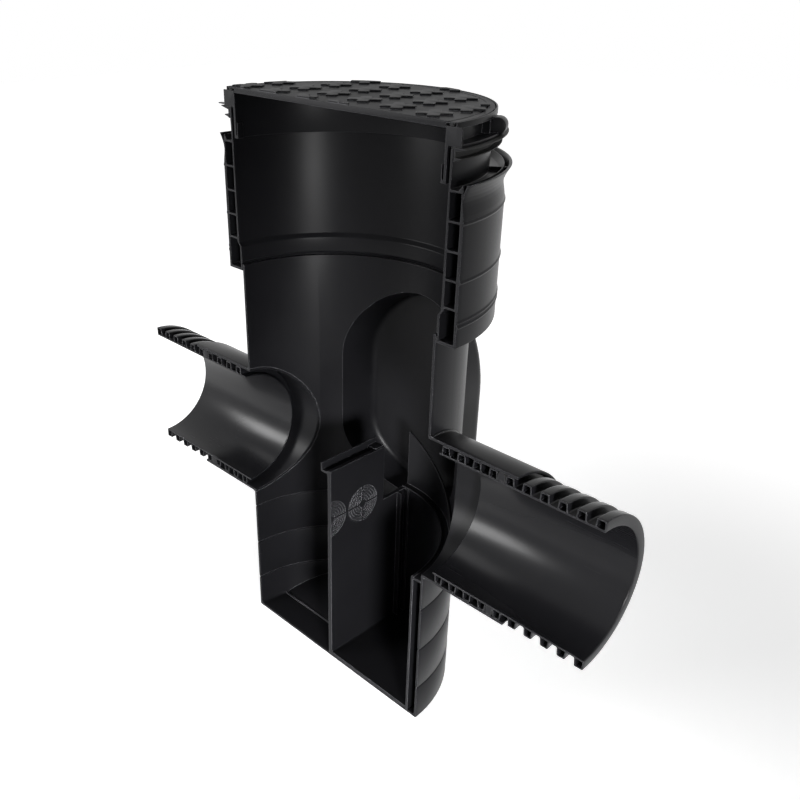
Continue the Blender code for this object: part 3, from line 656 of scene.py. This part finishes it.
# The cover frame: a ring with a lip, a flange and a skirt, turned as one section. Pockets open from below
# leave thin ribs round it, and round-nosed lugs, end ribs, an edge tab and the skirt's clips are joined on.
def makeCoverFrame():
    low = coverFrame["foot"]
    bore, radius, flange = coverFrame["bore"], coverFrame["radius"], coverFrame["flange"]
    foot = low - coverFrame["skirtDrop"]
    skirt = bore + coverFrame["skirtWall"]
    ledge = low + coverFrame["flangeThickness"]
    top = low + coverFrame["height"]
    lip = top + coverFrame["lipHeight"]
    outline = [(bore, foot), (skirt, foot), (skirt, low), (flange, low), (flange, ledge), (radius, ledge),
               (radius, lip), (radius - coverFrame["lipWidth"], lip), (radius - coverFrame["lipWidth"], top),
               (bore, top)]
    thing = turnedPiece("coverFrame", [roundCorners(outline, coverFrame["round"])])
    span = 180.0 / coverFrame["pocketCount"]
    back = radius - coverFrame["pocketDepth"]
    tools = []
    for k in range(coverFrame["pocketCount"]):
        first = k * span + coverFrame["pocketRib"] / 2
        last = (k + 1) * span - coverFrame["pocketRib"] / 2
        pocket = np.concatenate([arcPoints((0, 0), back, first, last, 16),
                                 arcPoints((0, 0), radius + 3.0, last, first, 16)])
        roof = top - coverFrame["pocketRoof"]
        tools.append((prismPiece("framePocket", pocket, ledge - 0.02, roof, edge=0.3), "DIFFERENCE"))
    lugRadius = coverFrame["lugRadius"]
    lugLow = low + 0.3
    centre = (coverFrame["lugReach"] - lugRadius, lugLow + lugRadius)
    nose = np.concatenate([[(skirt, lugLow)], arcPoints(centre, lugRadius, -90.0, 90.0, 20),
                           [(skirt, lugLow + 2 * lugRadius)]])
    half = coverFrame["lugWidth"] / 2
    for degrees in coverFrame["lugAngles"]:
        lug = prismPiece("frameLug", nose, -half, half, order="XZY", edge=coverFrame["lugRound"])
        tools.append((spin(lug, degrees), "UNION"))
    inside = bore - coverFrame["clipReach"]
    root = (bore + skirt) / 2
    floor = foot + coverFrame["clipFoot"]
    tip = foot + coverFrame["clipHeight"]
    for side in (-1, 1):
        clip = np.array([(root, foot), (inside, foot), (inside, tip), (inside + coverFrame["clipWall"], tip),
                         (inside + coverFrame["clipWall"], floor), (root, floor)]) * (side, 1)
        tools.append((prismPiece("skirtClip", roundCorners(clip, 0.3), 0.0, coverFrame["clipWidth"],
                                 order="XZY", edge=0.3), "UNION"))
        tools.append((boxPiece("endRib", sorted((side * back, side * flange)), (0.0, coverFrame["endRib"]),
                               (low, top)), "UNION"))
    tabLow = ledge - 1.5 * coverFrame["tabThickness"]
    tools.append((boxPiece("edgeTab", (-coverFrame["tabReach"], -radius), (0.0, coverFrame["tabWidth"]),
                           (tabLow, tabLow + coverFrame["tabThickness"]), edge=0.3), "UNION"))
    combine(thing, tools)
    finishPiece(thing, "cover_frame", "cover", mouldedPolypropylene)


coverSeal = {"inset": 4.0, "width": 5.0, "height": 1.4, "round": 0.5}
lid = {
    "thickness": 6.0, "flange": 1.7, "edgeGap": 1.4, "round": 0.5,
    "grooveInset": 6.0, "grooveWidth": 2.4, "grooveDepth": 0.9,
    "padStart": (16.9, 33.6), "padColumn": (52.5, -7.5), "padRow": (4.0, 41.5), "padTurn": 37.0,
    "padArm": 11.5, "padReach": 17.0, "padHeight": 2.0, "padEdge": 157.0, "padRound": 0.8, "padSunk": 0.5,
}


# The lid's seal, and the lid: a plug that fits the frame's bore under a thin flange with a ring groove of
# depth d sin(pi s), and the tread pads on top.
def makeLid():
    top = coverFrame["foot"] + coverFrame["height"]
    sealLow = top + seatGap
    sealHigh = sealLow + coverSeal["height"]
    inner = coverFrame["bore"] + coverSeal["inset"]
    outer = inner + coverSeal["width"]
    ring = roundCorners([(inner, sealLow), (outer, sealLow), (outer, sealHigh), (inner, sealHigh)],
                        coverSeal["round"])
    seal = turnedPiece("coverSeal", [ring])
    finishPiece(seal, "cover_seal", "cover", sealRubber)
    seat = sealHigh + seatGap
    lidTop = seat + lid["flange"]
    edge = coverFrame["radius"] - coverFrame["lipWidth"] - lid["edgeGap"]
    plug = coverFrame["bore"] - seatGap
    foot = lidTop - lid["thickness"]
    groove = edge - lid["grooveInset"]
    s = np.linspace(0.0, 1.0, 7)
    depth = lid["grooveDepth"] * np.sin(math.pi * s)
    dip = np.stack([groove - lid["grooveWidth"] * s, lidTop - depth], axis=1)
    body = roundCorners([(plug, foot), (plug, seat), (edge, seat), (edge, lidTop)], lid["round"])
    outline = np.concatenate([[(0.0, foot)], body, dip, [(0.0, lidTop)]])
    thing = turnedPiece("coverLid", [outline])
    joinInto(thing, treadPads(lidTop))
    finishPiece(thing, "cover_lid", "cover", texturedPolypropylene)


# Tread pads: raised crosses on a slanting grid, each turned to stand corner to corner with the next, and
# trimmed where they meet the section plane or the lid's ring groove.
def treadPads(lidTop):
    arm, reach, edge = lid["padArm"] / 2, lid["padReach"], lid["padEdge"]
    cross = np.array([(reach, -arm), (reach, arm), (arm, arm), (arm, reach), (-arm, reach), (-arm, arm),
                      (-reach, arm), (-reach, -arm), (-arm, -arm), (-arm, -reach), (arm, -reach),
                      (arm, -arm)])
    turn = math.radians(lid["padTurn"])
    spun = cross @ np.array([[math.cos(turn), math.sin(turn)], [-math.sin(turn), math.cos(turn)]])
    low, high = lidTop - lid["padSunk"], lidTop + lid["padHeight"]
    ring = arcPoints((0.0, 0.0), edge, 0.0, 180.0, resolution["halfTurn"])
    start, across, along = np.array(lid["padStart"]), np.array(lid["padColumn"]), np.array(lid["padRow"])
    pads = []
    for column in range(-4, 5):
        for row in range(-2, 5):
            centre = start + column * across + row * along
            distance = math.hypot(*centre)
            if distance > edge + 0.6 * reach or centre[1] < -0.6 * reach:      # off the lid
                continue
            outline = roundCorners(spun + centre, lid["padRound"])
            pad = prismPiece("treadPad", outline, low, high, edge=0.45)
            if distance > edge - 1.4 * reach or centre[1] < 1.4 * reach:      # may need trimming
                area = prismPiece("padArea", ring, low - 5.0, high + 5.0, edge=0.1)
                area.data.transform(Matrix.Translation((0.0, resolution["cutEdge"] * mm, 0.0)))
                combine(pad, [(area, "INTERSECT")])
            if len(pad.data.polygons):
                pads.append(pad)
    return pads


# Silt bucket

bucket = {
    "radius": 138.6, "wall": 3.0, "floor": 3.8, "base": 3.3, "height": 207.0, "rim": 3.0, "baffle": 5.8,
    "tongueWidth": 93.3, "tongueHeight": 286.1, "gripReach": 11.9, "gripFloor": 2.5, "gripWall": 2.0,
    "gripUpstand": 7.1, "gripEnd": 14.3, "gripEndHeight": 3.5, "flangeWidth": 6.0, "flangeThickness": 2.2,
    "guideReach": 7.0, "guideThickness": 2.2, "guideSpacing": 13.8,
    "guardStart": 36.0, "guardWall": 3.0, "guardInset": 0.7, "guardRound": 1.3, "beadRadius": 1.7,
    "rosetteRadius": 25.5, "rosettePitch": 55.0, "rosetteDepth": 1.5, "rosetteRings": 6,
    "rosetteLevel": 221.0, "rosetteBar": 1.3, "cutFrom": -20.0,
}


# One strainer rosette: rings of four curved slots, parted by the crossing bars. Of the rosette that the
# section plane cuts, only the two quarters behind it are made.
def rosetteSlots(centre):
    pitch = bucket["rosetteRadius"] / (bucket["rosetteRings"] + 1)
    slots = []
    for ring in range(bucket["rosetteRings"]):
        outer = bucket["rosetteRadius"] - ring * pitch
        inner = outer - pitch * 0.5
        for quarter in range(4):
            bar = math.degrees(bucket["rosetteBar"] / inner)
            first, last = quarter * 90.0 + bar, quarter * 90.0 + 90.0 - bar
            loop = np.concatenate([arcPoints((centre, bucket["rosetteLevel"]), outer, first, last, 10),
                                   arcPoints((centre, bucket["rosetteLevel"]), inner, last, first, 10)])
            if centre == 0.0 and quarter in (1, 2):
                continue
            slots.append(prismPiece("rosetteSlot", loop, -bucket["rosetteDepth"], 3.0, order="YZX", edge=0.2))
    return slots


# The guard: a wall on the rim's outer edge in front of the dome. Its top rises evenly with the angle,
# from the rim to the tongue's top.
def guardPiece(radius, face, low, rimTop, tongueTop):
    first = math.radians(bucket["guardStart"])
    last = math.acos(face / radius)
    wall = bucket["guardWall"]

    def carry(u, v, t, shift):
        share = (t - first) / (last - first)
        z = np.where(v > (low + tongueTop) / 2, v - (tongueTop - rimTop - 0.5) * (1 - share), v)
        return u * np.cos(t), u * np.sin(t), z
    section = roundCorners([(radius - wall, low), (radius, low), (radius, tongueTop),
                            (radius - wall, tongueTop)], bucket["guardRound"])
    t = np.linspace(first, last, resolution["halfTurn"] // 2)
    return sweepSection("bypassGuard", [section], carry, np.stack([t, 0 * t, 0 * t], axis=1))


# The bead: a half-round roll along the rim's inner edge.
def rimBead(radius, level, last):
    def carry(u, v, t, shift):
        return u * np.cos(t), np.maximum(u * np.sin(t), shift), v
    section = arcPoints((radius, level), bucket["beadRadius"], 0.0, 345.0, 23)
    return sweepSection("rimBead", [section], carry, halfTurnStations(resolution["halfTurn"] // 2, last))


# The bucket: a half-round drum behind a flat baffle, hollowed out, with a rim that meets the chamber's wall,
# the guard and bead on it, and the tongue with its hooked grip, side flange, guides and rosettes.
def makeBucket():
    base = bucket["base"]
    top = base + bucket["height"]
    face = -bucket["baffle"]
    radius, bore = bucket["radius"], bucket["radius"] - bucket["wall"]
    steps = resolution["halfTurn"] // 2
    end = math.degrees(math.acos(face / radius))
    outline = np.concatenate([[(face, 0.0)], arcPoints((0, 0), radius, 0.0, end, steps)])
    thing = prismPiece("siltBucket", outline, base, top, edge=0.4)
    nearSide = bucket["cutFrom"]
    cavity = np.concatenate([[(0.0, nearSide), (bore, nearSide)], arcPoints((0, 0), bore, 0.0, 90.0, steps)])
    tools = [(prismPiece("bucketCavity", cavity, base + bucket["floor"], 2 * top, edge=1.2), "DIFFERENCE")]
    rimRadius = chamber["bore"] - seatGap
    middle = radius - bucket["wall"] / 2
    outerEnd = math.degrees(math.acos(face / rimRadius))
    innerEnd = math.degrees(math.acos(face / middle))
    ring = np.concatenate([arcPoints((0, 0), rimRadius, 0.0, outerEnd, steps),
                           arcPoints((0, 0), middle, innerEnd, 0.0, steps)])
    tools.append((prismPiece("bucketRim", ring, top - bucket["rim"], top - 0.01, edge=0.4), "UNION"))
    root = top - bucket["wall"]
    tongueTop = base + bucket["tongueHeight"]
    guardRadius = rimRadius - bucket["guardInset"]
    tools.append((guardPiece(guardRadius, face, top - bucket["rim"] / 2, top, tongueTop), "UNION"))
    tools.append((rimBead(middle, top - 0.4, math.acos(face / middle)), "UNION"))
    width = bucket["tongueWidth"]
    tools.append((boxPiece("tongue", (face, 0.0), (0.0, width), (root, tongueTop)), "UNION"))
    tip = face - bucket["gripReach"]
    floor = tongueTop - bucket["gripFloor"]
    inside = face / 2
    upstand = tongueTop + bucket["gripUpstand"]
    profile = [(tip, floor - bucket["gripFloor"]), (inside, floor - bucket["gripFloor"]), (inside, floor),
               (tip + bucket["gripWall"], floor), (tip + bucket["gripWall"], upstand), (tip, upstand)]
    tools.append((prismPiece("grip", roundCorners(profile, 0.5), 0.0, width, order="XZY", edge=0.4), "UNION"))
    tools.append((boxPiece("gripEnd", (tip, inside), (width - bucket["gripEnd"], width),
                           (floor - bucket["gripFloor"], floor + bucket["gripEndHeight"])), "UNION"))
    tools.append((boxPiece("tongueFlange", (face - bucket["flangeWidth"], inside),
                           (width - bucket["flangeThickness"], width), (root, floor)), "UNION"))
    for k in range(2):
        y = bore - k * bucket["guideSpacing"]
        tools.append((boxPiece("guide", (inside, bucket["guideReach"]), (y - bucket["guideThickness"], y),
                               (base + bucket["floor"] / 2, top - 0.02)), "UNION"))
    for slot in rosetteSlots(0.0) + rosetteSlots(bucket["rosettePitch"]):
        tools.append((slot, "DIFFERENCE"))
    combine(thing, tools)
    finishPiece(thing, "silt_bucket", "trap", mouldedPolypropylene)


makeChamber()
makePipeEnd("inlet", inletPipe)
makePipeEnd("outlet", outletPipe)
makeRiser()
makeRiserSeal()
makeCoverFrame()
makeLid()
makeBucket()


# Studio

studio = {
    "floorHalf": 6.0, "floorColour": "#f2f2f2", "floorRoughness": 0.9,
    "floorGlow": 0.62, "glowNear": 0.3, "glowFar": 1.3, "ambient": 0.02,
    "cameraPlace": (0.67816, -0.71694, 0.84122), "cameraAim": (-0.64068, 0.60597, -0.47152),
    "lens": 40.093, "shift": (0.07254, 0.03615),
}
# Each lamp: place, size across and along, power in watts, height that it aims at, and spread in degrees.
lamps = {
    "left": ((-1.32, -1.64, 1.0), (1.1, 0.5), 36.0, 0.36, 180.0),
    "leftHigh": ((-1.33, -0.48, 2.05), (0.7, 0.7), 4.0, 0.36, 180.0),
    "frontRight": ((1.63, -1.46, 0.59), (0.7, 0.7), 2.0, 0.36, 180.0),
    "low": ((1.86, -1.16, 0.55), (0.45, 0.45), 3.0, 0.14, 30.0),
    "right": ((1.84, -0.67, 1.36), (0.7, 0.7), 0.6, 0.36, 180.0),
    "behind": ((0.4, 1.5, 1.92), (0.9, 0.9), 1.0, 0.36, 180.0),
}


# Gives 1 for the rays that show the background: the camera's, reflections and those through clear things.
def backgroundRays(tree):
    path = addNode(tree, "ShaderNodeLightPath")
    direct = addNode(tree, "ShaderNodeMath", {
        0: path.outputs["Is Camera Ray"], 1: path.outputs["Is Glossy Ray"]}, operation="MAXIMUM")
    return addNode(tree, "ShaderNodeMath", {
        0: direct.outputs[0], 1: path.outputs["Is Transmission Ray"]}, operation="MAXIMUM").outputs[0]


# The floor: pale and lit by the lamps. For those rays it has a glow too, which grows to white with the
# distance from the trap, so that the floor keeps the shadow and fades into the white background.
def makeFloor():
    half = studio["floorHalf"]
    mesh = bpy.data.meshes.new("paleFloor")
    corners = [(-half, -half, 0), (half, -half, 0), (half, half, 0), (-half, half, 0)]
    mesh.from_pydata(corners, [], [(0, 1, 2, 3)])
    floor = bpy.data.objects.new("paleFloor", mesh)
    bpy.context.scene.collection.objects.link(floor)
    material = bpy.data.materials.new("matPaleFloor")
    material.use_nodes = True
    tree = material.node_tree
    shader = tree.nodes["Principled BSDF"]
    shader.inputs["Base Color"].default_value = toLinear(studio["floorColour"])
    shader.inputs["Roughness"].default_value = studio["floorRoughness"]
    place = addNode(tree, "ShaderNodeTexCoord").outputs["Object"]
    distance = addNode(tree, "ShaderNodeVectorMath", {0: place}, operation="LENGTH").outputs["Value"]
    strength = addNode(tree, "ShaderNodeMapRange", {
        "Value": distance, "From Min": studio["glowNear"], "From Max": studio["glowFar"],
        "To Min": studio["floorGlow"], "To Max": 1.0}, interpolation_type="SMOOTHSTEP").outputs["Result"]
    glow = addNode(tree, "ShaderNodeEmission", {"Color": (1, 1, 1, 1), "Strength": strength})
    both = addNode(tree, "ShaderNodeAddShader", {0: shader.outputs[0], 1: glow.outputs[0]})
    mix = addNode(tree, "ShaderNodeMixShader", {
        0: backgroundRays(tree), 1: shader.outputs[0], 2: both.outputs[0]})
    tree.links.new(mix.outputs[0], tree.nodes["Material Output"].inputs["Surface"])
    mesh.materials.append(material)


# The world: white where a ray shows the background, and a dim light all round for the rest.
def makeWorld():
    world = bpy.data.worlds.new("paleStudio")
    bpy.context.scene.world = world
    world.use_nodes = True
    tree = world.node_tree
    tree.nodes.clear()
    dim = addNode(tree, "ShaderNodeBackground", {"Color": (1, 1, 1, 1), "Strength": studio["ambient"]})
    white = addNode(tree, "ShaderNodeBackground", {"Color": (1, 1, 1, 1), "Strength": 1.0})
    mix = addNode(tree, "ShaderNodeMixShader", {
        0: backgroundRays(tree), 1: dim.outputs[0], 2: white.outputs[0]})
    addNode(tree, "ShaderNodeOutputWorld", {"Surface": mix.outputs[0]})


# The lamps: flat rectangles, each turned towards a height on the frame's upright axis.
def makeLamps():
    for name, (place, size, power, height, spread) in lamps.items():
        data = bpy.data.lights.new(name, "AREA")
        data.shape = "RECTANGLE"
        data.size, data.size_y = size
        data.energy = power
        data.spread = math.radians(spread)
        lamp = bpy.data.objects.new(name, data)
        lamp.location = place
        lamp.rotation_mode = "QUATERNION"
        lamp.rotation_quaternion = (Vector((0.0, 0.0, height)) - Vector(place)).to_track_quat("-Z", "Y")
        bpy.context.scene.collection.objects.link(lamp)


# The camera: placed, turned and shifted as the one that was fitted to the photograph.
def makeCamera():
    data = bpy.data.cameras.new("camera")
    data.lens = studio["lens"]
    data.sensor_width = 36.0
    data.shift_x, data.shift_y = studio["shift"]
    data.clip_end = 100.0
    camera = bpy.data.objects.new("camera", data)
    camera.location = studio["cameraPlace"]
    camera.rotation_mode = "QUATERNION"
    camera.rotation_quaternion = Vector(studio["cameraAim"]).to_track_quat("-Z", "Y")
    bpy.context.scene.collection.objects.link(camera)
    bpy.context.scene.camera = camera


makeFloor()
makeWorld()
makeLamps()
makeCamera()
bpy.context.scene.view_settings.view_transform = "Standard"
print("studio ready")
